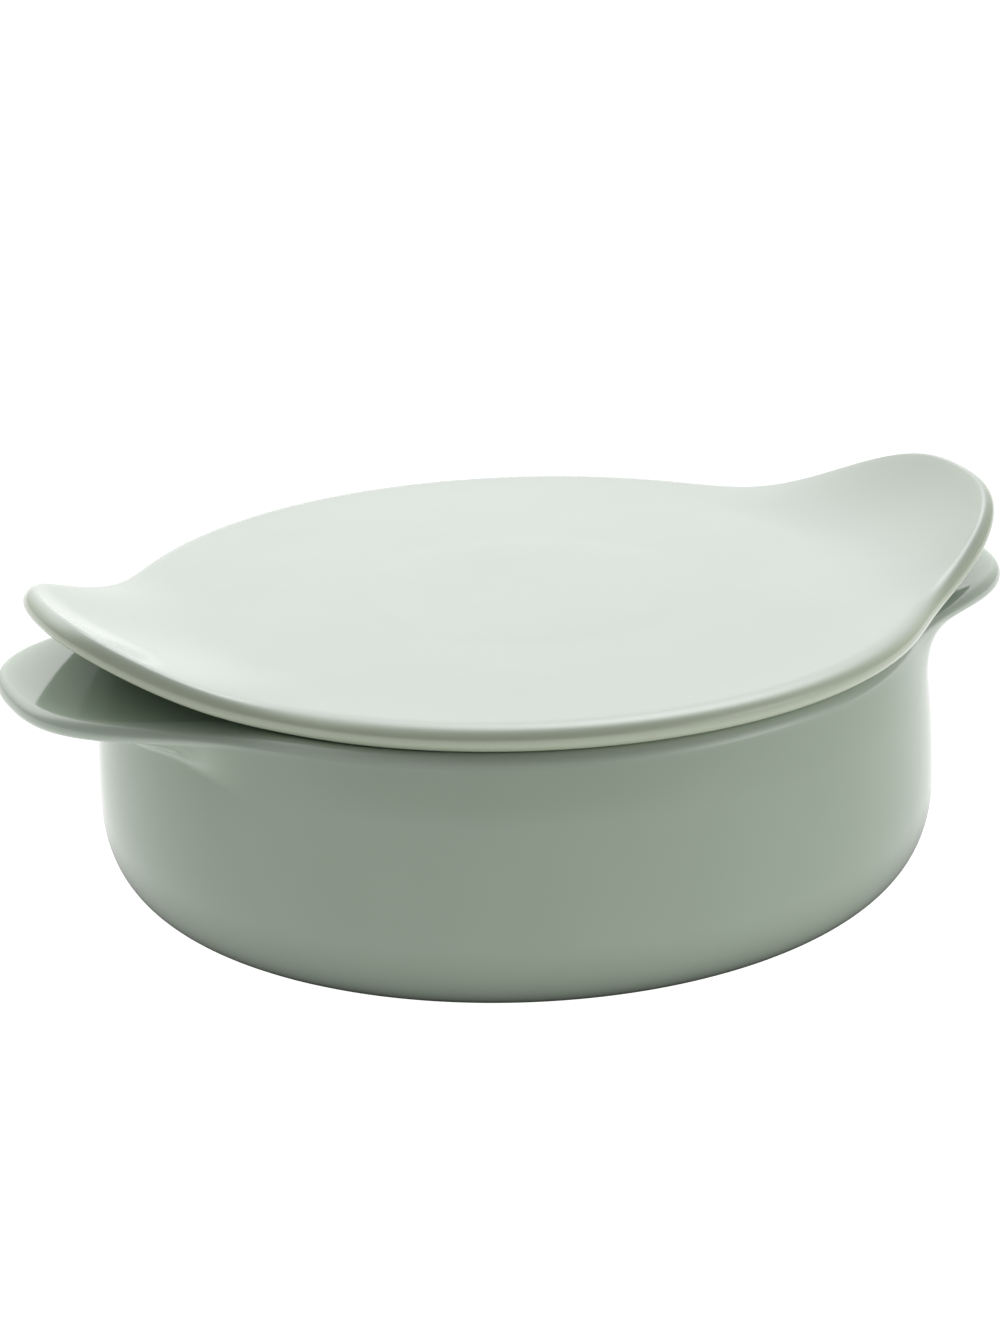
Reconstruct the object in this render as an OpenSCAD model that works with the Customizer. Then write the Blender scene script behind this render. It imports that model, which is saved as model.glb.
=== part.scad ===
// Round lidded casserole dish in glazed stoneware: a low dish with a lug handle moulded on each side, and
// a flat lid that lifts off, with two upswept tabs that stand over the lugs.
// Millimetres, +Z up. The origin is the middle of the base on the table, and the lugs lie along X.

/* [Dish] */
// Outside diameter of the dish at its belly
belly_d = 240; // [210:1:280]
// Height of the rim above the table
rim_z = 78.4; // [66:0.2:100]
// How far the wall leans in from the belly to the rim
rim_lean = 3.2; // [0:0.1:5]
// Thickness of the wall at the belly
wall_t = 7; // [5:0.5:9]
// Thickness of the floor, above the recess in the foot
floor_t = 7; // [5:0.5:10]
// Width of the rim, from the mouth to the outside
rim_w = 8.6; // [7.5:0.1:12]
// Radius of the rounded outer edge of the rim
rim_round = 4.2; // [3.2:0.1:4.6]
// Radius of the rounded edge of the mouth
mouth_r_edge = 1.6; // [0.8:0.1:2]
// Width of the flat land round the mouth that the lid rests on at the lugs
land_w = 1.2; // [0.6:0.1:2]
// How far the rounded bottom corner reaches in from the belly
corner_w = 38.6; // [28:0.2:48]
// How far the rounded bottom corner reaches up from the table
corner_h = 34.8; // [24:0.2:40]
// Squareness of the bottom corner, where 2 is an ellipse
corner_power = 2.74; // [2:0.02:3.6]
// Width of the ring that the dish stands on
foot_w = 6; // [3:0.5:12]
// Depth of the recess inside that ring
foot_recess = 1.6; // [0.8:0.1:3]

/* [Lugs of the dish] */
// How far a lug reaches out past the rim
lug_reach = 32.8; // [22:0.2:42]
// Angle to each side at which a lug's reach has fallen to about a third
lug_spread = 21.6; // [15:0.1:26]
// Squareness of a lug's outline, where 2 is a bell curve
lug_power = 3; // [2:0.05:4]
// Rise of a lug's lip above the rim
lug_rise = 1.2; // [0:0.1:4]
// How steeply a lug's top curls up towards its lip
lug_curl = 1.6; // [1.2:0.1:3]
// Radius of the rounded lip at the tip of a lug
lip_r = 3; // [2.4:0.1:3.8]
// How much wider the lip rounds over where a lug runs out into the rim
shoulder_w = 5; // [0:0.1:6]
// How much deeper the lip rounds over there
shoulder_h = 0.8; // [0:0.1:2]
// How much rounder the lip is underneath, a little further out along the rim
shoulder_r = 3; // [0:0.1:4]
// Depth below the rim at which the cove under a lug's tip leaves the wall
cove_depth = 16.6; // [14:0.2:24]
// Depth below the rim of the corner that the cove rounds off
cove_corner = 11.6; // [8:0.2:13]

/* [Lid] */
// Thickness of the lid at its edge
lid_t = 7.4; // [5:0.1:10]
// How far in from the edge the lid's top starts to round over
lid_rounding = 6.2; // [5:0.1:9]
// How much thicker the lid is in its flat middle
lid_crown = 0.5; // [0:0.1:2]
// How far the lid's round edge stands out past the outside of the rim
lid_overhang = 0.2; // [-3:0.1:3]
// How far a tab reaches out past the lid's round edge
tab_reach = 24.4; // [16:0.1:34]
// Angle to each side at which a tab's reach has fallen to about a third
tab_spread = 21.3; // [16:0.1:26]
// Angle to each side at which a tab's rise has fallen to about a third
rise_spread = 20.6; // [15:0.1:25]
// Squareness of a tab's outline, where 2 is a bell curve
tab_power = 2.9; // [2:0.05:4]
// Rise of a tab's tip above the edge of the lid
tab_rise = 15.4; // [8:0.1:24]
// How far inside the lid's round edge its flat middle ends and a tab starts to rise
tab_start = 25.2; // [15:0.2:35]
// Width of the locating ring under the lid
ring_w = 5; // [3:0.2:8]
// Depth of the locating ring
ring_h = 5; // [3:0.2:9]
// How far the loose lid has slid towards +X on the rim
lid_shift = 3.3; // [0:0.1:4]
// Gap left between the locating ring and the mouth on that side
ring_gap = 0.6; // [0.4:0.1:2]

/* [Hidden] */
$fn = 96;
glaze = "#b7c3b6";

// Sections round the axis, how much they crowd together at the lugs, and points on each run of a section
sections = 96;
crowding = 14;
corner_steps = 9;
wall_steps = 3;
cove_steps = 6;
lip_steps = 7;
edge_steps = 4;
shelf_steps = 5;
bend_steps = 6;
mouth_steps = 4;
cut = 1;

belly_r = belly_d / 2;
rim_r = belly_r - rim_lean;
mouth_r = rim_r - rim_w;
land_r = mouth_r + mouth_r_edge;
shelf_r = land_r + land_w;
recess_r = belly_r - corner_w - foot_w;
lid_r = rim_r + lid_overhang;
edge_r = lid_t / 2;
bend_r = lid_r - tab_start;
ring_r = mouth_r - lid_shift - ring_gap;

// Angle of one section, with the sections closer together near the X axis
function section_angle(i) = let (a = 360 * i / sections) a - crowding * sin(2 * a);

// Angle between a direction and the nearer end of the X axis
function off_axis(a) = abs((a + 90) % 180 - 90);

// Share of a handle's full reach at an angle: 1 on the X axis, falling smoothly to nothing
function bump(a, spread, power) = exp(-pow(off_axis(a) / spread, power));

function mix(a, b, t) = a + (b - a) * t;

// Point on the curve from p to q whose ends point at c
function bend(p, c, q, t) = mix(mix(p, c, t), mix(c, q, t), t);

function on_circle(centre, r, a) = centre + r * [cos(a), sin(a)];

// Bottom corner as a quarter of a superellipse that ends at radius r, over a floor at height z
function corner(r, z) =
    let (middle = belly_r - corner_w)
    [for (k = [0 : corner_steps])
        let (a = 90 * k / corner_steps)
        [middle + (r - middle) * pow(sin(a), 2 / corner_power),
         corner_h - (corner_h - z) * pow(cos(a), 2 / corner_power)]];

// Radius of a wall that leans in from the belly to the rim, and its slope, at height z
function wall_lean(z) = (z - corner_h) / (rim_z - corner_h);
function wall_r(z, low_r, top_r) = low_r - (low_r - top_r) * pow(wall_lean(z), 2);
function wall_slope(z) = -2 * rim_lean * wall_lean(z) / (rim_z - corner_h);

// Turn at which a line drawn up from point p touches an ellipse with half axes w and h
function touch(p, centre, w, h) =
    let (way = [(centre.x - p.x) * h / w, centre.y - p.y])
    atan2(way.y, way.x) - asin(h / norm(way)) - 90;

function on_ellipse(centre, w, h, turn) = centre + [w * cos(turn), h * sin(turn)];

// Bump that is 0 where share is 0 or 1 and peaks at 1 where it is 1 / (n + 1)
function peak(share, n) = share * pow(1 - share, n) * pow(n + 1, n + 1) / pow(n, n);

// Wall, cove, lip and top of the dish at an angle. The lip is a circle below its outermost point and part
// of an ellipse above it. The cove is tangent to the wall and to the lip, and deepest under the lug's tip.
function dish_handle(a) =
    let (share = bump(a, lug_spread, lug_power),
         rise = lug_rise * share,
         edge = mix(rim_round, lip_r, sqrt(share)),
         lip_w = edge + shoulder_w * peak(share, 3),
         lip_h = edge + shoulder_h * peak(share, 3),
         low_r = lip_r + shoulder_r * peak(share, 6),
         knee_depth = lip_h + low_r + (cove_corner - 2 * lip_r) * pow(share, 2),
         climb = (cove_depth - cove_corner) * knee_depth / cove_corner,
         foot_z = rim_z - knee_depth - climb,
         foot = [wall_r(foot_z, belly_r, rim_r), foot_z],
         knee = foot + climb * [wall_slope(foot_z), 1],
         outermost = [rim_r + lug_reach * share, rim_z + rise - lip_h],
         upper = outermost - [lip_w, 0],
         lower = outermost - [low_r, 0],
         high = touch(knee, upper, lip_w, lip_h),
         under = high > 0 ? high : touch(knee, lower, low_r, low_r),
         over = 90 + atan(lug_curl * rise / (upper.x - shelf_r) * lip_w / lip_h),
         lip = [for (k = [0 : lip_steps])
             let (turn = mix(under, over, k / lip_steps))
             turn < 0 ? on_circle(lower, low_r, turn) : on_ellipse(upper, lip_w, lip_h, turn)],
         top = lip[lip_steps])
    concat(
        [for (k = [1 : wall_steps - 1])
            let (z = mix(corner_h, foot_z, k / wall_steps))
            [wall_r(z, belly_r, rim_r), z]],
        [for (k = [0 : cove_steps - 1]) bend(foot, knee, lip[0], k / cove_steps)],
        lip,
        [for (k = [shelf_steps - 1 : -1 : 0])
            let (t = k / shelf_steps)
            [mix(shelf_r, top.x, t), rim_z + (top.y - rim_z) * pow(t, lug_curl)]]);

function dish_profile(a) = concat(corner(belly_r, 0), dish_handle(a));

// Inside of the dish, from the floor up to the rounded edge of the mouth, whose last chord runs on through
// the rim
function cavity_profile() =
    let (low_r = belly_r - wall_t,
         floor_z = foot_recess + floor_t,
         top_z = rim_z - mouth_r_edge,
         edge = [for (k = [1 : mouth_steps])
             on_circle([land_r, top_z], mouth_r_edge, 180 - 90 * k / mouth_steps)],
         last = len(edge) - 1,
         beyond = mix(edge[last - 1], edge[last], 2))
    concat(
        [[0, rim_z + cut], [0, floor_z]],
        corner(low_r, floor_z),
        [for (k = [1 : wall_steps])
            let (t = k / wall_steps)
            [mix(low_r, mouth_r, pow(t, 2)), mix(corner_h, top_z, t)]],
        [for (k = [0 : last - 1]) edge[k]],
        [beyond, [beyond.x, rim_z + cut]]);

// Half section of the lid above its own underside: along its lower face, round its edge and back over the
// top. The edge is a quarter circle below its tip and a wider quarter of an ellipse above it.
function lid_profile(a) =
    let (rise = tab_rise * bump(a, rise_spread, tab_power),
         end_r = lid_r + tab_reach * bump(a, tab_spread, tab_power) - edge_r,
         tilt = atan(2 * rise / (end_r - bend_r)),
         along = [cos(tilt), sin(tilt)],
         across = [-sin(tilt), cos(tilt)],
         centre = [end_r, lid_t + rise] - edge_r * across,
         inner = centre - (lid_rounding - edge_r) * along,
         top_r = inner.x + edge_r * across.x)
    concat(
        [for (k = [0 : bend_steps - 1])
            let (t = k / bend_steps)
            [mix(bend_r, end_r, t), rise * pow(t, 2)]],
        [for (k = [0 : edge_steps]) on_circle(centre, edge_r, tilt - 90 + 90 * k / edge_steps)],
        [for (k = [1 : edge_steps])
            let (turn = 90 * k / edge_steps)
            inner + lid_rounding * cos(turn) * along + edge_r * sin(turn) * across],
        [for (k = [bend_steps - 1 : -1 : 0])
            let (t = k / bend_steps, r = mix(bend_r, top_r, t))
            [r, lid_t + rise * pow((r - bend_r) / (end_r - bend_r), 2) + lid_crown * (1 - pow(t, 2))]]);

// Closed solid through half sections, one at each section angle, whose ends close flat across the axis
module loft(profiles) {
    size = len(profiles[0]);
    poles = sections * size;
    points = concat(
        [for (i = [0 : sections - 1], p = profiles[i])
            [p.x * cos(section_angle(i)), p.x * sin(section_angle(i)), p.y]],
        [[0, 0, profiles[0][0].y], [0, 0, profiles[0][size - 1].y]]);
    faces = [for (i = [0 : sections - 1])
        let (here = i * size, next = (i + 1) % sections * size)
        each concat(
            [[poles, here, next], [poles + 1, next + size - 1, here + size - 1]],
            [for (k = [0 : size - 2]) each [
                [here + k, here + k + 1, next + k + 1],
                [here + k, next + k + 1, next + k]]])];
    polyhedron(points, faces, convexity = 6);
}

module dish() {
    color(glaze)
    difference() {
        loft([for (i = [0 : sections - 1]) dish_profile(section_angle(i))]);
        rotate_extrude() polygon(cavity_profile());
        translate([0, 0, -cut]) cylinder(r = recess_r, h = cut + foot_recess);
    }
}

// Ring with a half-round lower edge, standing down from the lid
module locating_ring() {
    rotate_extrude() translate([ring_r - ring_w, 0]) {
        translate([0, ring_w / 2 - ring_h]) square([ring_w, ring_h - ring_w / 2 + edge_r]);
        translate([ring_w / 2, ring_w / 2 - ring_h]) circle(d = ring_w);
    }
}

module lid() {
    color(glaze)
    translate([lid_shift, 0, rim_z]) {
        loft([for (i = [0 : sections - 1]) lid_profile(section_angle(i))]);
        locating_ring();
    }
}

dish();
lid();
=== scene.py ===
"""Round casserole dish with a lift-off lid, in glossy sage glaze over pale stoneware.

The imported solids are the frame. Each piece is a closed skin through half sections, one for each angle round
the axis. A half section is a row of radii and heights, and the lugs and tabs come from how those change with
the angle. Lengths are in metres, +Z is up and the lugs lie along X.
"""

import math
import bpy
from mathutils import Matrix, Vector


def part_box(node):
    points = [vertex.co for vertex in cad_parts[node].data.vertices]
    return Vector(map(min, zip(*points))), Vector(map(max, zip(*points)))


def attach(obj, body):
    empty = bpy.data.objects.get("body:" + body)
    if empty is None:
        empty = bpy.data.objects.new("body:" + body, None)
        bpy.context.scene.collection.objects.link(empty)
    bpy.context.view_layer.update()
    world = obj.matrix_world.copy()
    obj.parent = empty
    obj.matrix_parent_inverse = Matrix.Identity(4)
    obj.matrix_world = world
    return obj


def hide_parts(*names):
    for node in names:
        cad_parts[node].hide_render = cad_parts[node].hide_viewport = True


bl_info = {
    "name": "Lidded Casserole Dish",
    "version": (1, 0, 0),
    "blender": (4, 5, 0),
    "location": "View3D > Sidebar > Casserole",
    "description": "Glazed stoneware casserole dish and lid, with a studio to show them in",
    "category": "Add Mesh",
}

import bpy
import numpy as np
from bpy.props import FloatProperty, FloatVectorProperty, IntProperty, PointerProperty
from mathutils import Matrix, Vector

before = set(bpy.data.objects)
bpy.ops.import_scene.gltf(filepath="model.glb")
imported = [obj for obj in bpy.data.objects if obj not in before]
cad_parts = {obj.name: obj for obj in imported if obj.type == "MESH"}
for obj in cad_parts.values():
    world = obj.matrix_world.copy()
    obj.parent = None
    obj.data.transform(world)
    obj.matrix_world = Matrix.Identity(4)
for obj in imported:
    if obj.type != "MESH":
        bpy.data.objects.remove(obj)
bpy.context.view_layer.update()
dish_low, dish_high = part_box("dish")
lid_low, lid_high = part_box("lid")

# Rise of a lug's lip above the rim and lean of the wall, from which other sizes are worked out
LUG_RISE = 0.0012
RIM_LEAN = 0.0032

# How far the half sections are drawn towards the lugs and tabs, and how far towards their flanks
DRAW_TO_HANDLES = math.radians(14)
DRAW_TO_FLANKS = math.radians(4)

# Share of the way to its knees that makes a cubic follow a quarter of an ellipse
QUARTER_PULL = 0.5523

# Rounding of an edge on which the painted highlight is at its brightest, and of a hollow in which the painted
# shade is at its darkest
PAINTED_LIGHT_ROUNDING = 0.004

# Least distance that a turn is measured over, and the weights that smooth the turns along a half section
LEAST_DISTANCE = 1e-6
SMOOTHING = (0.1, 0.2, 0.4, 0.2, 0.1)

# Power of the cosine of the tilt with which the painted sheen on top of the lid, a paler colour standing in
# for its bright reflection, fades
SHEEN_POWER = 4

# Bare clay: how far it comes up the foot and out past it, and how far it comes up the locating ring
FOOT_BARE_HEIGHT = 0.0004
FOOT_BARE_MARGIN = 0.002
RING_BARE_HEIGHT = 0.0006

# Tone of the clay's dark grains, as a share of its colour
DARK_GRAIN = 0.82

# Half the side of the floor, and the shares of the belly's radius between which its glow sets in: inside them
# the glow fades out as a painted contact shadow under the dish
FLOOR_HALF = 6.0
GLOW_START = 0.83
GLOW_END = 1.32

# Changes of the floor's glow towards the camera and away from it: start, end and factor of each
FLOOR_CHANGES = ((0.3, 0.9, 0.7), (-0.4, -1.2, 1.15))

# Glows of the dome: degrees round to the right from the camera, degrees up, tightness and brightness
DOME_GLOWS = (
    (161, 60, 15.3, 5.7),  # high behind the dish
    (178, 19, 4.0, 1.58),  # wide and low behind it
    (68, 6, 12.0, 2.58),  # low on the right
    (-123, 40, 11.1, 2.78),  # on the left, towards the back
    (-160, 32, 30.0, 0.45),  # small and faint, behind on the left
)


def length(name, description, default):
    """A length in metres for a user to change."""
    return FloatProperty(
        name=name, description=description, default=default, unit="LENGTH", subtype="DISTANCE", precision=5
    )


def angle(name, description, degrees):
    """An angle for a user to change, given in degrees and kept in radians."""
    return FloatProperty(
        name=name, description=description, default=math.radians(degrees), unit="ROTATION", subtype="ANGLE"
    )


def number(name, description, default):
    """A plain number for a user to change."""
    return FloatProperty(name=name, description=description, default=default)


def share(name, description, default):
    """A number from 0 to 1 for a user to change."""
    return FloatProperty(name=name, description=description, default=default, min=0, max=1, subtype="FACTOR")


def colour(name, description, default):
    """A linear colour for a user to change."""
    return FloatVectorProperty(
        name=name, description=description, default=default, size=3, min=0, max=1, subtype="COLOR"
    )


class DishSizes(bpy.types.PropertyGroup):
    """Sizes of the dish and of its lugs."""

    belly_radius: length("Belly radius", "Outside radius at the belly", dish_high.y)
    rim_height: length("Rim height", "Height of the rim above the table", dish_high.z - LUG_RISE)
    rim_lean: length("Rim lean", "How far the wall leans in from the belly to the rim", RIM_LEAN)
    wall: length("Wall", "Thickness of the wall at the belly", 0.007)
    floor: length("Floor", "Thickness of the floor above the recess in the foot", 0.007)
    rim_width: length("Rim width", "From the mouth to the outside of the rim", 0.0086)
    rim_rounding: length("Rim rounding", "Rounding of the outer edge of the rim", 0.0042)
    mouth_rounding: length("Mouth rounding", "Rounding of the edge of the mouth", 0.0016)
    land: length("Land", "Width of the flat land round the mouth", 0.0012)
    corner_width: length("Corner width", "How far the bottom corner reaches in from the belly", 0.0386)
    corner_height: length("Corner height", "How far the bottom corner reaches up", 0.0348)
    corner_power: number("Corner power", "Squareness of the bottom corner, where 2 is an ellipse", 2.74)
    foot_width: length("Foot width", "Width of the ring that the dish stands on", 0.006)
    foot_recess: length("Foot recess", "Depth of the recess inside that ring", 0.0016)
    foot_rounding: length("Foot rounding", "Rounding of the inner edges of that ring", 0.0006)
    lug_reach: length(
        "Lug reach", "How far a lug reaches out past the rim", dish_high.x - dish_high.y + RIM_LEAN
    )
    lug_spread: angle("Lug spread", "Angle at which a lug's reach has fallen to about a third", 21.6)
    lug_power: number("Lug power", "Squareness of a lug's outline, where 2 is a bell curve", 3)
    lug_rise: length("Lug rise", "Rise of a lug's lip above the rim", LUG_RISE)
    lug_curl: number("Lug curl", "How steeply a lug's top curls up towards its lip", 1.6)
    lip_radius: length("Lip radius", "Rounding of the lip at the tip of a lug", 0.003)
    shoulder_width: length(
        "Shoulder width", "How much wider the lip rounds over where a lug runs out into the rim", 0.005
    )
    shoulder_thinning: length("Shoulder thinning", "How much less deep the lip rounds over there", 0.0006)
    cove_depth: length("Cove depth", "Depth below the rim where the cove leaves the wall", 0.0156)
    cove_corner: length("Cove corner", "Depth below the rim of the corner that the cove rounds off", 0.0106)
    runout_corner: length("Run-out corner", "Depth of that corner where a lug runs out into the rim", 0.0146)
    cove_lift: length("Cove lift", "How much higher that corner lies where a lug has half its reach", 0.0025)
    lip_thinning: length("Lip thinning", "How much tighter the lip rounds underneath there", 0.0012)


class LidSizes(bpy.types.PropertyGroup):
    """Sizes of the lid and of its tabs."""

    radius: length("Radius", "Radius of the round edge", lid_high.y)
    shift: length("Shift", "How far the loose lid has slid towards +X", (lid_low.x + lid_high.x) / 2)
    thickness: length("Thickness", "Thickness at the edge", 0.0074)
    crown: length("Crown", "How far the dome of the top falls from its middle to the round edge", 0.0005)
    rounding: length("Rounding", "How far in from the edge its top starts to round over", 0.0062)
    tab_rounding: length("Tab rounding", "Rounding of the upper edge of a tab", 0.0026)
    tab_thinning: length("Tab thinning", "How much thinner the edge is at a tab", 0.0014)
    thin_spread: angle("Thin spread", "Angle at which that thinning has fallen to about a third", 32)
    thin_power: number("Thin power", "Squareness of that thinning, where 2 is a bell curve", 4)
    edge_lift: length("Edge lift", "How much the top curls up again outside its flat middle", 0.0003)
    tab_reach: length("Tab reach", "How far a tab reaches out past the round edge", 0.025)
    tab_spread: angle("Tab spread", "Angle at which a tab's reach has fallen to about a third", 22.7)
    rise_spread: angle("Rise spread", "Angle at which a tab's rise has fallen to about a third", 20.4)
    tab_power: number("Tab power", "Squareness of a tab's outline, where 2 is a bell curve", 2.9)
    tab_rise: length("Tab rise", "Rise of a tab's tip above the edge of the lid", 0.016)
    tab_start: length("Tab start", "How far inside the round edge the flat middle ends", 0.0252)
    ring_radius: length("Ring radius", "Outer radius of the locating ring underneath", 0.1043)
    ring_width: length("Ring width", "Width of the locating ring", 0.005)
    ring_depth: length("Ring depth", "Depth of the locating ring", dish_high.z - LUG_RISE - lid_low.z)
    ring_fillet: length("Ring fillet", "Rounding where the ring meets the underside", 0.001)
    disc_radius: length("Disc radius", "Radius of the barely raised disc in the middle of the top", 0.046)
    disc_height: length("Disc height", "Height of that disc", 0.0001)
    disc_edge: length("Disc edge", "Width of that disc's soft edge", 0.006)


class GlazeLook(bpy.types.PropertyGroup):
    """Colours and gloss of the glaze and of the bare clay, with a painted highlight, painted shade and a
    painted sheen among the colours.
    """

    sage: colour("Sage", "The glaze at its usual thickness", (0.334, 0.409, 0.321))
    # Painted sheen: a paler colour on top of the lid that stands in for the bright reflection there
    pale: colour("Pale", "The glaze where it lay level on top of the lid", (0.386, 0.432, 0.388))
    # Painted highlights: lighter, creamier colours on the tight edges of the dish and lid that stand in for
    # the light on those edges
    dish_edge_highlight: colour("Dish edge", "The dish's glaze where it has run thin", (0.420, 0.488, 0.408))
    lid_edge_highlight: colour("Lid edge", "The lid's glaze where it has run thin", (0.432, 0.482, 0.372))
    # Painted shade: a darker, greener colour in hollows that stands in for the shade there
    hollow_shade: colour("Pooled", "The glaze where it has gathered in a hollow", (0.301, 0.383, 0.288))
    clay: colour("Clay", "Bare fired clay", (0.62, 0.54, 0.43))
    gloss: share("Gloss", "Roughness of the glaze", 0.07)
    clay_roughness: share("Clay roughness", "Roughness of the bare clay", 0.75)
    drift: share("Drift", "How much the glaze's tone drifts over the piece", 0.04)
    ripple: length("Ripple", "Height of the ripple left in the glaze", 0.00004)


class StageSettings(bpy.types.PropertyGroup):
    """Camera, floor and lights."""

    azimuth: angle("Azimuth", "Direction of the camera round the dish", -21.772)
    elevation: angle("Elevation", "Height of the camera above the horizon", 19.312)
    distance: length("Distance", "From the camera to the point that it turns about", 1.2567)
    aim_height: length("Aim height", "Height of that point on the axis", 0.0594)
    yaw: angle("Yaw", "Turn of the camera to the side", 0.1668)
    pitch: angle("Pitch", "Turn of the camera up", 0.1544)
    roll: angle("Roll", "Turn of the camera about its view", -1.8396)
    lens: FloatProperty(
        name="Lens",
        description="Focal length in millimetres for a 36 mm long side",
        default=118.09,
        unit="CAMERA",
    )
    floor_tone: share("Floor tone", "How much light the floor throws back", 0.1)
    floor_glow: number("Floor glow", "Brightness of the light that shines through the floor", 1.09)
    sections: IntProperty(name="Sections", description="Half sections round each piece", default=512, min=24)


def settings():
    """The casserole's settings in the open scene."""
    return bpy.context.scene.casserole


def section_angles():
    """Angles of the half sections: even steps, drawn towards the lugs and tabs by a term in sin 2a, and
    towards their flanks, where the surface bends most, by one in sin 4a."""
    even = np.arange(settings().stage.sections) * (2 * np.pi / settings().stage.sections)
    return even - DRAW_TO_HANDLES * np.sin(2 * even) + DRAW_TO_FLANKS * np.sin(4 * even)


def steps(count, start=0.0, end=1.0):
    """Values from start to end as a column, to be carried across all the half sections."""
    return np.linspace(start, end, count)[:, None]


def handle_share(angles, spread, power):
    """Share of a handle's full reach: exp(-(d / spread) ** power), with d the angle to the X axis."""
    off_axis = np.abs((angles + np.pi / 2) % np.pi - np.pi / 2)
    return np.exp(-((off_axis / spread) ** power))


def peak(reach, power):
    """Bump over a handle's share of reach: reach * (1 - reach) ** power, scaled to 1 at its top, which lies
    at a reach of 1 / (power + 1)."""
    return reach * (1 - reach) ** power * (power + 1) ** (power + 1) / power**power


def mix(a, b, t):
    """Point a share t of the way from a to b."""
    return a + (b - a) * t


def arc(centre_r, centre_z, radius, start, end, t):
    """Circle round a centre, from one angle to another, in radians from the outward direction."""
    turn = mix(start, end, t)
    return centre_r + radius * np.cos(turn), centre_z + radius * np.sin(turn)


def touch(point, centre_r, centre_z, width, height):
    """Turn at which a line drawn up from a point touches an ellipse with these half axes: the ellipse is
    squeezed into a circle, and the turn is that of the circle's radius at right angles to the line."""
    away_r, away_z = (centre_r - point[0]) * height / width, centre_z - point[1]
    return np.arctan2(away_z, away_r) - np.arcsin(height / np.hypot(away_r, away_z)) - np.pi / 2


def bend(start, knee, end, t):
    """Curve from start to end whose ends point at the knee: a parabola, mixed twice."""
    return tuple(mix(mix(a, b, t), mix(b, c, t), t) for a, b, c in zip(start, knee, end))


def double_bend(start, start_knee, end_knee, end, t):
    """Curve that leaves start towards one knee and meets end from the other: a cubic, mixed thrice."""
    return tuple(
        mix(mix(mix(a, b, t), mix(b, c, t), t), mix(mix(b, c, t), mix(c, d, t), t), t)
        for a, b, c, d in zip(start, start_knee, end_knee, end)
    )


def stack(runs, columns):
    """Runs of (radius, height) laid end to end, each spread over all the columns, as two arrays."""
    def spread(part):
        rows = max(np.shape(value)[0] for value in part)
        return [np.broadcast_to(value, (rows, columns)) for value in part]

    with_sheen = [spread(run) for run in runs]
    return np.concatenate([run[0] for run in with_sheen]), np.concatenate([run[1] for run in with_sheen])


def bottom_corner(sizes, outer_r, floor_z, t):
    """Quarter of a superellipse: sine and cosine of a quarter turn, each to the power 2 / corner_power."""
    middle = sizes.belly_radius - sizes.corner_width
    turn = t * np.pi / 2
    power = 2 / sizes.corner_power
    return (
        middle + (outer_r - middle) * np.sin(turn) ** power,
        sizes.corner_height - (sizes.corner_height - floor_z) * np.abs(np.cos(turn)) ** power,
    )


def wall_lean(sizes, z):
    """Share of the way up from the corner to the rim."""
    return (z - sizes.corner_height) / (sizes.rim_height - sizes.corner_height)


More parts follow.
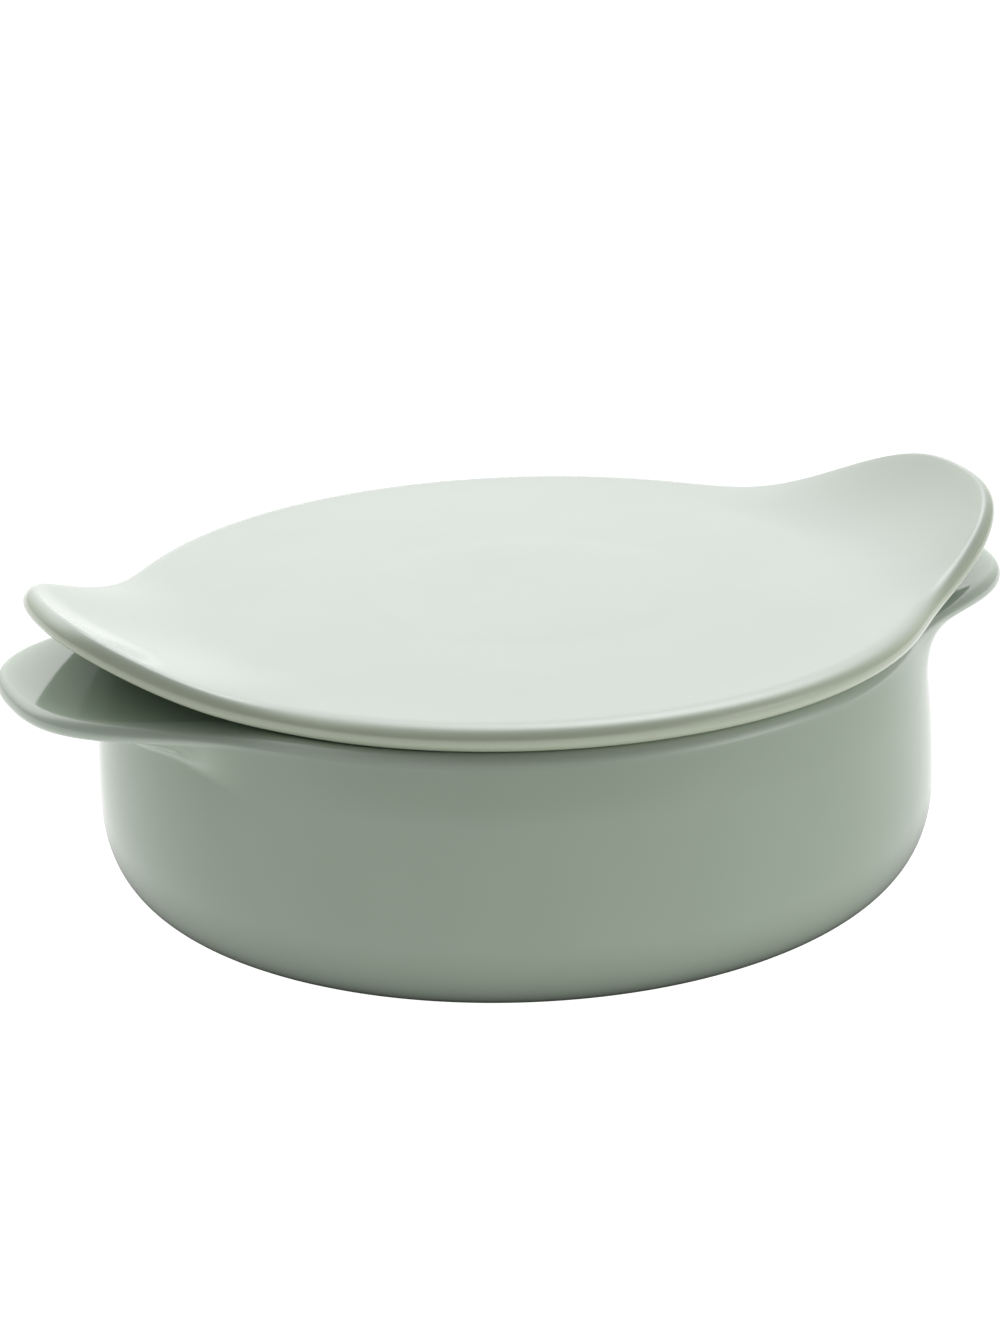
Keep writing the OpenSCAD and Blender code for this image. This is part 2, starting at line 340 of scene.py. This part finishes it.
def dish_section(sizes, angles):
    """Half sections of the dish, from the middle of its base out round the wall and rim and in to its floor.

    The wall leans in with the square of its height. At a lug the lip moves out and up. It is part of a circle
    below its outermost point and part of an ellipse above it, widest where the lug runs out into the rim. The
    cove under it is a parabola that leaves the wall and meets the lip in line with both. It lies lower where
    the lug runs out, so that it fades into the wall there. The lug's top rises to the lip as a power of the
    way out.
    """
    rim_r = sizes.belly_radius - sizes.rim_lean
    mouth_r = rim_r - sizes.rim_width
    land_r = mouth_r + sizes.mouth_rounding
    shelf_r = land_r + sizes.land
    foot_r = sizes.belly_radius - sizes.corner_width
    recess_r = foot_r - sizes.foot_width
    edge = sizes.foot_rounding
    low_r = sizes.belly_radius - sizes.wall
    floor_z = sizes.foot_recess + sizes.floor
    mouth_z = sizes.rim_height - sizes.mouth_rounding

    reach = handle_share(angles, sizes.lug_spread, sizes.lug_power)
    rise = sizes.lug_rise * reach
    runout, halfway = peak(reach, 3), peak(reach, 1)
    lip = mix(sizes.rim_rounding, sizes.lip_radius, np.sqrt(reach))
    lip_w = lip + sizes.shoulder_width * runout
    lip_h = lip - sizes.shoulder_thinning * runout
    lip_low = sizes.lip_radius - sizes.lip_thinning * halfway
    outermost_r = rim_r + sizes.lug_reach * reach
    outermost_z = sizes.rim_height + rise - lip_h

    fading_depth = mix(sizes.cove_corner, sizes.runout_corner, (1 - reach) ** 2)
    knee_depth = fading_depth - sizes.cove_lift * halfway
    climb = sizes.cove_depth - sizes.cove_corner
    cove_z = sizes.rim_height - knee_depth - climb
    cove_lean = wall_lean(sizes, cove_z)
    cove_start = (sizes.belly_radius - sizes.rim_lean * cove_lean**2, cove_z)
    slope = -2 * sizes.rim_lean * cove_lean / (sizes.rim_height - sizes.corner_height)
    knee = (cove_start[0] + climb * slope, cove_z + climb)

    # Turns at which the lip starts, where the cove meets it, and ends, where the top of the lug leaves it
    high = touch(knee, outermost_r - lip_w, outermost_z, lip_w, lip_h)
    low = touch(knee, outermost_r - lip_low, outermost_z, lip_low, lip_low)
    under = np.where(high > 0, high, low)
    over = np.pi / 2 + np.arctan(sizes.lug_curl * rise / (outermost_r - lip_w - shelf_r) * lip_w / lip_h)

    def round_lip(t):
        turn = mix(under, over, t)
        width, height = np.where(turn < 0, lip_low, lip_w), np.where(turn < 0, lip_low, lip_h)
        return outermost_r - width * (1 - np.cos(turn)), outermost_z + height * np.sin(turn)

    lip_end = round_lip(1)
    wall_z = mix(sizes.corner_height, cove_z, steps(11)[1:-1])
    shelf = steps(18, 1, 0)[1:]
    inside = steps(16, 1, 0)[1:]
    flat = np.ones((1, 1))
    return stack(
        [
            # Recess under the base, and the foot
            (steps(8, 0, recess_r - edge), flat * sizes.foot_recess),
            arc(recess_r - edge, sizes.foot_recess - edge, edge, np.pi / 2, 0, steps(6)[1:]),
            arc(recess_r + edge, edge, edge, np.pi, 1.5 * np.pi, steps(6)),
            (steps(4, recess_r + edge, foot_r)[1:-1], flat * 0),
            # Bottom corner and wall
            bottom_corner(sizes, sizes.belly_radius, 0, steps(30)),
            (sizes.belly_radius - sizes.rim_lean * wall_lean(sizes, wall_z) ** 2, wall_z),
            # Cove, lip and top of a lug, and the land round the mouth
            bend(cove_start, knee, round_lip(0), steps(32)),
            round_lip(steps(28)[1:]),
            (
                mix(shelf_r, lip_end[0], shelf),
                sizes.rim_height + (lip_end[1] - sizes.rim_height) * shelf**sizes.lug_curl,
            ),
            # Edge of the mouth, and the inside down to the floor
            arc(land_r, mouth_z, sizes.mouth_rounding, np.pi / 2, np.pi, steps(8)),
            (mix(low_r, mouth_r, inside**2), mix(sizes.corner_height, mouth_z, inside)),
            bottom_corner(sizes, low_r, floor_z, steps(26, 1, 0)[1:]),
            (steps(10, foot_r, 0)[1:], flat * floor_z),
        ],
        len(angles),
    )


def lid_section(sizes, angles):
    """Half sections of the lid above its underside, from the middle of that face out past the locating ring,
    round the edge and in over the top.

    At a tab the edge moves out and thins, and the lid rises with the square of the way out from its flat
    middle. The edge is tilted with that rise: its lower half is a quarter circle, and its upper half is close
    to a quarter of an ellipse, wide at the round edge and tight at a tab. The top is as much higher as the
    lid is thick, with a crown that falls with the square of the radius, a slight curl up outside the flat
    middle and a barely raised disc in it.
    """
    bend_r = sizes.radius - sizes.tab_start
    rise = sizes.tab_rise * handle_share(angles, sizes.rise_spread, sizes.tab_power)
    thin_share = handle_share(angles, sizes.thin_spread, sizes.thin_power)
    thinning = sizes.tab_thinning * thin_share
    rounding = mix(sizes.rounding, sizes.tab_rounding, thin_share)
    edge_r = (sizes.thickness - thinning) / 2
    end_r = sizes.radius + sizes.tab_reach * handle_share(angles, sizes.tab_spread, sizes.tab_power) - edge_r
    tilt = np.arctan(2 * rise / (end_r - bend_r))

    def bent(r, end_rise):
        return end_rise * (np.clip(r - bend_r, 0, None) / (end_r - bend_r)) ** 2

    def under(r):
        return bent(r, rise + thinning)

    half = sizes.ring_width / 2
    fillet = sizes.ring_fillet
    inner_r, outer_r = sizes.ring_radius - sizes.ring_width, sizes.ring_radius
    ring_mid, ring_z = sizes.ring_radius - half, half - sizes.ring_depth
    inner_top, outer_top = under(inner_r - fillet), under(outer_r + fillet)
    before_ring = steps(6, bend_r, inner_r - fillet)[1:-1]
    after_ring = mix(outer_r + fillet, end_r, steps(20)[1:-1])
    across = (-np.sin(tilt), np.cos(tilt))
    centre = (end_r + edge_r * np.sin(tilt), sizes.thickness + rise - edge_r * np.cos(tilt))
    tip = (centre[0] + edge_r * np.cos(tilt), centre[1] + edge_r * np.sin(tilt))
    shoulder_r = end_r - (rounding - edge_r) * np.cos(tilt)

    curl = sizes.edge_lift / sizes.tab_start**2

    def over(r):
        out = np.clip(r - bend_r, 0, None)
        crown = sizes.crown * (1 - (r / sizes.radius) ** 2)
        return r, sizes.thickness - sizes.edge_lift + bent(r, rise) + crown + curl * out**2

    shoulder = over(shoulder_r)
    slope = np.arctan(
        2 * (rise / (end_r - bend_r) ** 2 + curl) * (shoulder_r - bend_r)
        - 2 * sizes.crown * shoulder_r / sizes.radius**2
    )
    shoulder_knee = (
        shoulder[0] + QUARTER_PULL * rounding * np.cos(slope),
        shoulder[1] + QUARTER_PULL * rounding * np.sin(slope),
    )
    drop = (shoulder[0] - tip[0]) * across[0] + (shoulder[1] - tip[1]) * across[1]
    tip_knee = (tip[0] + QUARTER_PULL * drop * across[0], tip[1] + QUARTER_PULL * drop * across[1])
    middle = steps(40, bend_r, 0)[1:]
    disc = np.clip((sizes.disc_radius - middle) / sizes.disc_edge + 0.5, 0, 1)
    flat = np.ones((1, 1))
    return stack(
        [
            # Underside, with the locating ring on it
            (steps(8, 0, bend_r), flat * 0),
            (before_ring, under(before_ring)),
            bend(
                (inner_r - fillet, inner_top), (inner_r, inner_top), (inner_r, inner_top - fillet), steps(6)
            ),
            arc(ring_mid, ring_z, half, np.pi, 2 * np.pi, steps(16)),
            bend(
                (outer_r, outer_top - fillet), (outer_r, outer_top), (outer_r + fillet, outer_top), steps(6)
            ),
            (after_ring, under(after_ring)),
            # Edge and top
            arc(*centre, edge_r, tilt - np.pi / 2, tilt, steps(16)),
            double_bend(tip, tip_knee, shoulder_knee, shoulder, steps(22)[1:]),
            over(mix(bend_r, shoulder_r, steps(26, 1, 0)[1:])),
            (middle, over(middle)[1] + sizes.disc_height * disc**2 * (3 - 2 * disc)),
        ],
        len(angles),
    )


def heading(radius, height):
    """Direction of each half section as it runs on: 0 outwards, a quarter turn up, half a turn inwards."""
    return np.unwrap(np.arctan2(np.gradient(height, axis=0), np.gradient(radius, axis=0)), axis=0)


def painted_bend_light(radius, height):
    """Painted light along each half section: 1 on an edge rounded as tightly as the set rounding, which gets
    a lighter painted highlight, and -1 in such a hollow, which gets darker painted shade. It is the turn of
    the section's direction over the distance that the turn takes, smoothed."""
    distance = np.hypot(np.gradient(radius, axis=0), np.gradient(height, axis=0))
    turn = np.gradient(heading(radius, height), axis=0) / np.maximum(distance, LEAST_DISTANCE)
    bend_light = np.clip(turn * PAINTED_LIGHT_ROUNDING, -1, 1)
    margin = len(SMOOTHING) // 2
    padded = np.pad(bend_light, ((margin, margin), (0, 0)), mode="edge")
    return sum(padded[k : k + len(bend_light)] * weight for k, weight in enumerate(SMOOTHING))


def skin(name, radius, height, angles, shift, attributes):
    """Closed mesh over half sections: each ring's points at (r cos a + shift, r sin a, z), joined to the next
    ring by quads. The first and last rows lie on the axis, and each becomes one pole with a fan of
    triangles."""
    rings, columns = radius.shape[0] - 2, radius.shape[1]
    ring_r, ring_z = radius[1:-1], height[1:-1]
    ring_x, ring_y = ring_r * np.cos(angles) + shift, ring_r * np.sin(angles)
    points = np.stack((ring_x, ring_y, ring_z), axis=-1).reshape(-1, 3)
    poles = np.array(((shift, 0, height[0, 0]), (shift, 0, height[-1, 0])))

    here = np.arange(columns)
    beside = np.roll(here, -1)
    row = np.arange(rings - 1)[:, None] * columns
    quads = np.stack((row + here, row + beside, row + columns + beside, row + columns + here), axis=-1)
    first_pole, last_pole = rings * columns, rings * columns + 1
    last = (rings - 1) * columns
    first_fan = np.stack((np.full(columns, first_pole), beside, here), axis=-1)
    last_fan = np.stack((np.full(columns, last_pole), last + here, last + beside), axis=-1)

    mesh = bpy.data.meshes.new(name)
    faces = quads.reshape(-1, 4).tolist() + first_fan.tolist() + last_fan.tolist()
    mesh.from_pydata(np.concatenate((points, poles)).tolist(), [], faces)
    for key, values in attributes.items():
        layer = mesh.attributes.new(key, "FLOAT", "POINT")
        column = np.concatenate((values[1:-1].ravel(), values[0, :1], values[-1, :1]))
        layer.data.foreach_set("value", column.astype(np.float32))
    mesh.shade_smooth()
    if mesh.validate():
        raise RuntimeError(f"the skin of {name} has broken faces")
    made = bpy.data.objects.new(name, mesh)
    bpy.context.scene.collection.objects.link(made)
    return made


def node(tree, kind, inputs=None, **options):
    """A new node with its options set, and its inputs set to values or linked to other nodes' sockets."""
    made = tree.nodes.new(kind)
    for key, value in options.items():
        setattr(made, key, value)
    for key, value in (inputs or {}).items():
        if isinstance(value, bpy.types.NodeSocket):
            tree.links.new(value, made.inputs[key])
        else:
            made.inputs[key].default_value = value
    return made


def glaze_material(name, look, edge):
    """Glossy glaze over pale clay, with light and shade painted into its colour: a lighter, creamier painted
    highlight on tight edges, darker painted shade in hollows and a paler painted sheen where the lid faces
    up. It drifts slightly in tone and has a faint ripple. Where the piece stood in the kiln the clay is bare,
    rough and grainy."""
    material = bpy.data.materials.new(name)
    material.use_nodes = True
    tree = material.node_tree
    tree.nodes.clear()
    place = node(tree, "ShaderNodeTexCoord").outputs["Object"]
    bend_light = node(tree, "ShaderNodeAttribute", attribute_name="painted_bend_light").outputs["Fac"]
    bare = node(tree, "ShaderNodeAttribute", attribute_name="bare_clay").outputs["Fac"]

    # Painted light from the bends: darker painted shade in hollows, plain glaze on flat parts and a lighter
    # painted highlight on edges
    lie = node(tree, "ShaderNodeMapRange", {"Value": bend_light, "From Min": -1.0, "From Max": 1.0})
    ramp = node(tree, "ShaderNodeValToRGB", {"Fac": lie.outputs["Result"]})
    stops = ramp.color_ramp.elements
    stops[0].color = (*look.hollow_shade, 1)
    stops[1].color = (*edge, 1)
    stops.new(0.5).color = (*look.sage, 1)

    # Painted sheen: the top of the lid is mixed towards the paler colour as it faces up
    level = node(tree, "ShaderNodeAttribute", attribute_name="painted_top_sheen").outputs["Fac"]
    with_sheen = node(
        tree,
        "ShaderNodeMix",
        {"Factor": level, "A": ramp.outputs["Color"], "B": (*look.pale, 1)},
        data_type="RGBA",
    )

    clouds = node(
        tree,
        "ShaderNodeTexNoise",
        {"Vector": place, "Scale": 22.0, "Detail": 3.0, "Roughness": 0.55},
    )
    tone = node(
        tree,
        "ShaderNodeMapRange",
        {"Value": clouds.outputs["Fac"], "From Min": 0.3, "From Max": 0.7}
        | {"To Min": 1 - look.drift / 2, "To Max": 1 + look.drift / 2},
    )
    drifted = node(
        tree,
        "ShaderNodeHueSaturation",
        {"Value": tone.outputs["Result"], "Color": with_sheen.outputs["Result"]},
    )

    grain = node(tree, "ShaderNodeTexNoise", {"Vector": place, "Scale": 1400.0, "Detail": 2.0})
    dark_clay = [channel * DARK_GRAIN for channel in look.clay]
    clay = node(
        tree,
        "ShaderNodeMix",
        {"Factor": grain.outputs["Fac"], "A": (*dark_clay, 1), "B": (*look.clay, 1)},
        data_type="RGBA",
    )
    surface = node(
        tree,
        "ShaderNodeMix",
        {"Factor": bare, "A": drifted.outputs["Color"], "B": clay.outputs["Result"]},
        data_type="RGBA",
    )
    rough = node(
        tree,
        "ShaderNodeMapRange",
        {"Value": bare, "To Min": look.gloss, "To Max": look.clay_roughness},
    )

    waves = node(tree, "ShaderNodeTexNoise", {"Vector": place, "Scale": 55.0, "Detail": 1.0})
    height = node(
        tree,
        "ShaderNodeMix",
        {"Factor": bare, "A": waves.outputs["Fac"], "B": grain.outputs["Fac"]},
        data_type="FLOAT",
    )
    bump = node(tree, "ShaderNodeBump", {"Height": height.outputs["Result"], "Distance": look.ripple})
    shader = node(
        tree,
        "ShaderNodeBsdfPrincipled",
        {
            "Base Color": surface.outputs["Result"],
            "Roughness": rough.outputs["Result"],
            "Normal": bump.outputs["Normal"],
            "IOR": 1.52,
        },
    )
    node(tree, "ShaderNodeOutputMaterial", {"Surface": shader.outputs["BSDF"]})
    return material


def dress(piece, body, material):
    """Gives a finished piece its material, ties it to the body that it stands for and hides the imported part
    of that body.
    """
    piece.data.materials.append(material)
    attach(piece, body)
    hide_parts(body)


class CASSEROLE_OT_add_dish(bpy.types.Operator):
    """Adds the dish with its lugs, rim and foot"""

    bl_idname = "casserole.add_dish"
    bl_label = "Add Dish"

    def execute(self, context):
        sizes, look = settings().dish, settings().glaze
        angles = section_angles()
        radius, height = dish_section(sizes, angles)
        foot_r = sizes.belly_radius - sizes.corner_width
        on_foot = (radius > foot_r - sizes.foot_width) & (radius < foot_r + FOOT_BARE_MARGIN)
        bare = on_foot & (height < FOOT_BARE_HEIGHT)
        attributes = {
            # Painted highlight on edges and painted shade in hollows, from how tightly the sections bend
            "painted_bend_light": painted_bend_light(radius, height),
            "bare_clay": bare.astype(float),
            "painted_top_sheen": np.zeros_like(radius),
        }
        dish = skin("casserole_dish", radius, height, angles, 0.0, attributes)
        dress(dish, "dish", glaze_material("dish_glaze", look, look.dish_edge_highlight))
        return {"FINISHED"}


class CASSEROLE_OT_add_lid(bpy.types.Operator):
    """Adds the lid with its tabs and locating ring"""

    bl_idname = "casserole.add_lid"
    bl_label = "Add Lid"

    def execute(self, context):
        sizes, look = settings().lid, settings().glaze
        angles = section_angles()
        radius, height = lid_section(sizes, angles)
        bare = height < RING_BARE_HEIGHT - sizes.ring_depth
        attributes = {
            # Painted highlight on edges and painted shade in hollows, from how tightly the sections bend
            "painted_bend_light": painted_bend_light(radius, height),
            "bare_clay": bare.astype(float),
            # Painted sheen, strongest where the top of the lid faces straight up
            "painted_top_sheen": np.clip(-np.cos(heading(radius, height)), 0, 1) ** SHEEN_POWER,
        }
        height = height + settings().dish.rim_height
        lid = skin("casserole_lid", radius, height, angles, sizes.shift, attributes)
        dress(lid, "lid", glaze_material("lid_glaze", look, look.lid_edge_highlight))
        return {"FINISHED"}


def direction(azimuth, elevation):
    """Direction of length 1 at an azimuth, turned from -Y towards +X, and at an elevation."""
    return (
        math.sin(azimuth) * math.cos(elevation),
        -math.cos(azimuth) * math.cos(elevation),
        math.sin(elevation),
    )


def add_camera(stage):
    """Camera that looks at the aim point from its azimuth and elevation, then turned by yaw, pitch and roll
    about its own axes."""
    data = bpy.data.cameras.new("camera")
    data.lens = stage.lens
    data.sensor_width = 36
    data.clip_start, data.clip_end = 0.05, 50
    camera = bpy.data.objects.new("camera", data)
    back = Vector(direction(stage.azimuth, stage.elevation))
    facing = Matrix.Rotation(stage.azimuth, 3, "Z") @ Matrix.Rotation(math.pi / 2 - stage.elevation, 3, "X")
    trim = (
        Matrix.Rotation(stage.yaw, 3, "Y")
        @ Matrix.Rotation(stage.pitch, 3, "X")
        @ Matrix.Rotation(stage.roll, 3, "Z")
    )
    place = Vector((0, 0, stage.aim_height)) + back * stage.distance
    camera.matrix_world = Matrix.Translation(place) @ (facing @ trim).to_4x4()
    bpy.context.scene.collection.objects.link(camera)
    bpy.context.scene.camera = camera


def add_floor(stage):
    """Wide table of lit white acrylic, whose glow fades out softly under the dish as a painted contact
    shadow, seen only in the light that the floor throws onto the dish.
    """
    corners = [(x * FLOOR_HALF, y * FLOOR_HALF, 0) for x, y in ((-1, -1), (1, -1), (1, 1), (-1, 1))]
    mesh = bpy.data.meshes.new("floor")
    mesh.from_pydata(corners, [], [(0, 1, 2, 3)])
    floor = bpy.data.objects.new("floor", mesh)
    bpy.context.scene.collection.objects.link(floor)
    material = bpy.data.materials.new("floor_acrylic")
    material.use_nodes = True
    tree = material.node_tree
    tree.nodes.clear()
    place = node(tree, "ShaderNodeTexCoord").outputs["Object"]
    away = node(tree, "ShaderNodeVectorMath", {0: place}, operation="LENGTH").outputs["Value"]
    belly = settings().dish.belly_radius
    # Painted contact shadow: the glow fades out under the dish, where the dish would shade the floor
    glow = node(
        tree,
        "ShaderNodeMapRange",
        {"Value": away, "From Min": GLOW_START * belly, "From Max": GLOW_END * belly}
        | {"To Max": stage.floor_glow},
        interpolation_type="SMOOTHSTEP",
    )
    near = direction(stage.azimuth, 0)
    nearer = node(tree, "ShaderNodeVectorMath", {0: place, 1: near}, operation="DOT_PRODUCT").outputs["Value"]
    lit = glow.outputs["Result"]
    for start, end, change in FLOOR_CHANGES:
        factor = node(
            tree,
            "ShaderNodeMapRange",
            {"Value": nearer, "From Min": start, "From Max": end, "To Min": 1.0, "To Max": change},
            interpolation_type="SMOOTHSTEP",
        )
        changed = node(tree, "ShaderNodeMath", {0: lit, 1: factor.outputs["Result"]}, operation="MULTIPLY")
        lit = changed.outputs[0]
    # The camera sees the glow unfaded, without the painted shadow
    seen = node(tree, "ShaderNodeLightPath").outputs["Is Camera Ray"]
    shown = node(
        tree,
        "ShaderNodeMix",
        {"Factor": seen, "A": lit, "B": stage.floor_glow},
        data_type="FLOAT",
    )
    tone = (stage.floor_tone, stage.floor_tone, stage.floor_tone, 1)
    shader = node(
        tree,
        "ShaderNodeBsdfPrincipled",
        {"Base Color": tone, "Roughness": 0.9, "Specular IOR Level": 0.0, "Emission Color": (1, 1, 1, 1)}
        | {"Emission Strength": shown.outputs["Result"]},
    )
    node(tree, "ShaderNodeOutputMaterial", {"Surface": shader.outputs["BSDF"]})
    mesh.materials.append(material)


def add_dome(stage):
    """Dome of soft light round the stage: a sum of glows, each brightness * exp(tightness * (cosine - 1)),
    where the cosine is that of the angle from the glow's middle. The camera sees the dome as plain white."""
    world = bpy.data.worlds.new("studio_dome")
    world.use_nodes = True
    tree = world.node_tree
    tree.nodes.clear()
    way = node(tree, "ShaderNodeTexCoord").outputs["Generated"]
    total = 0.0
    for side, elevation, tightness, brightness in DOME_GLOWS:
        facing, lift = stage.azimuth + math.radians(side), math.radians(elevation)
        middle = direction(facing, lift)
        cosine = node(tree, "ShaderNodeVectorMath", {0: way, 1: middle}, operation="DOT_PRODUCT")
        fall = node(
            tree,
            "ShaderNodeMath",
            {0: cosine.outputs["Value"], 1: tightness, 2: -tightness},
            operation="MULTIPLY_ADD",
        )
        glow = node(tree, "ShaderNodeMath", {0: fall.outputs[0]}, operation="EXPONENT")
        added = node(
            tree,
            "ShaderNodeMath",
            {0: glow.outputs[0], 1: brightness, 2: total},
            operation="MULTIPLY_ADD",
        )
        total = added.outputs[0]
    seen = node(tree, "ShaderNodeLightPath").outputs["Is Camera Ray"]
    strength = node(tree, "ShaderNodeMix", {"Factor": seen, "A": total, "B": 1.0}, data_type="FLOAT")
    light = node(
        tree,
        "ShaderNodeBackground",
        {"Color": (1, 1, 1, 1), "Strength": strength.outputs["Result"]},
    )
    node(tree, "ShaderNodeOutputWorld", {"Surface": light.outputs["Background"]})
    bpy.context.scene.world = world


class CASSEROLE_OT_set_stage(bpy.types.Operator):
    """Adds the floor, the lights and the camera"""

    bl_idname = "casserole.set_stage"
    bl_label = "Set Stage"

    def execute(self, context):
        stage = settings().stage
        add_camera(stage)
        add_floor(stage)
        add_dome(stage)
        context.scene.view_settings.view_transform = "Standard"
        return {"FINISHED"}


class Casserole(bpy.types.PropertyGroup):
    """All that a user would change."""

    dish: PointerProperty(type=DishSizes, name="Dish", description="Sizes of the dish")
    lid: PointerProperty(type=LidSizes, name="Lid", description="Sizes of the lid")
    glaze: PointerProperty(type=GlazeLook, name="Glaze", description="Colours and gloss")
    stage: PointerProperty(type=StageSettings, name="Stage", description="Camera, floor and lights")


class CASSEROLE_PT_sidebar(bpy.types.Panel):
    """Lists the pieces, their sizes and the stage"""

    bl_idname = "CASSEROLE_PT_sidebar"
    bl_label = "Lidded Casserole Dish"
    bl_space_type = "VIEW_3D"
    bl_region_type = "UI"
    bl_category = "Casserole"

    def draw(self, context):
        groups = settings()
        for operator, key in (
            (CASSEROLE_OT_add_dish, "dish"),
            (CASSEROLE_OT_add_lid, "lid"),
            (None, "glaze"),
            (CASSEROLE_OT_set_stage, "stage"),
        ):
            box = self.layout.box()
            if operator:
                box.operator(operator.bl_idname)
            group = getattr(groups, key)
            for field in group.__annotations__:
                box.prop(group, field)


CLASSES = (
    DishSizes,
    LidSizes,
    GlazeLook,
    StageSettings,
    Casserole,
    CASSEROLE_OT_add_dish,
    CASSEROLE_OT_add_lid,
    CASSEROLE_OT_set_stage,
    CASSEROLE_PT_sidebar,
)


def register():
    """Makes the settings, the operators and the panel known to Blender."""
    for cls in CLASSES:
        bpy.utils.register_class(cls)
    bpy.types.Scene.casserole = PointerProperty(type=Casserole)


def unregister():
    """Takes them out again."""
    del bpy.types.Scene.casserole
    for cls in reversed(CLASSES):
        bpy.utils.unregister_class(cls)


def main():
    """Builds the pieces and the stage."""
    register()
    bpy.ops.casserole.add_dish()
    bpy.ops.casserole.add_lid()
    bpy.ops.casserole.set_stage()
    bpy.context.view_layer.update()


if __name__ == "__main__":
    main()
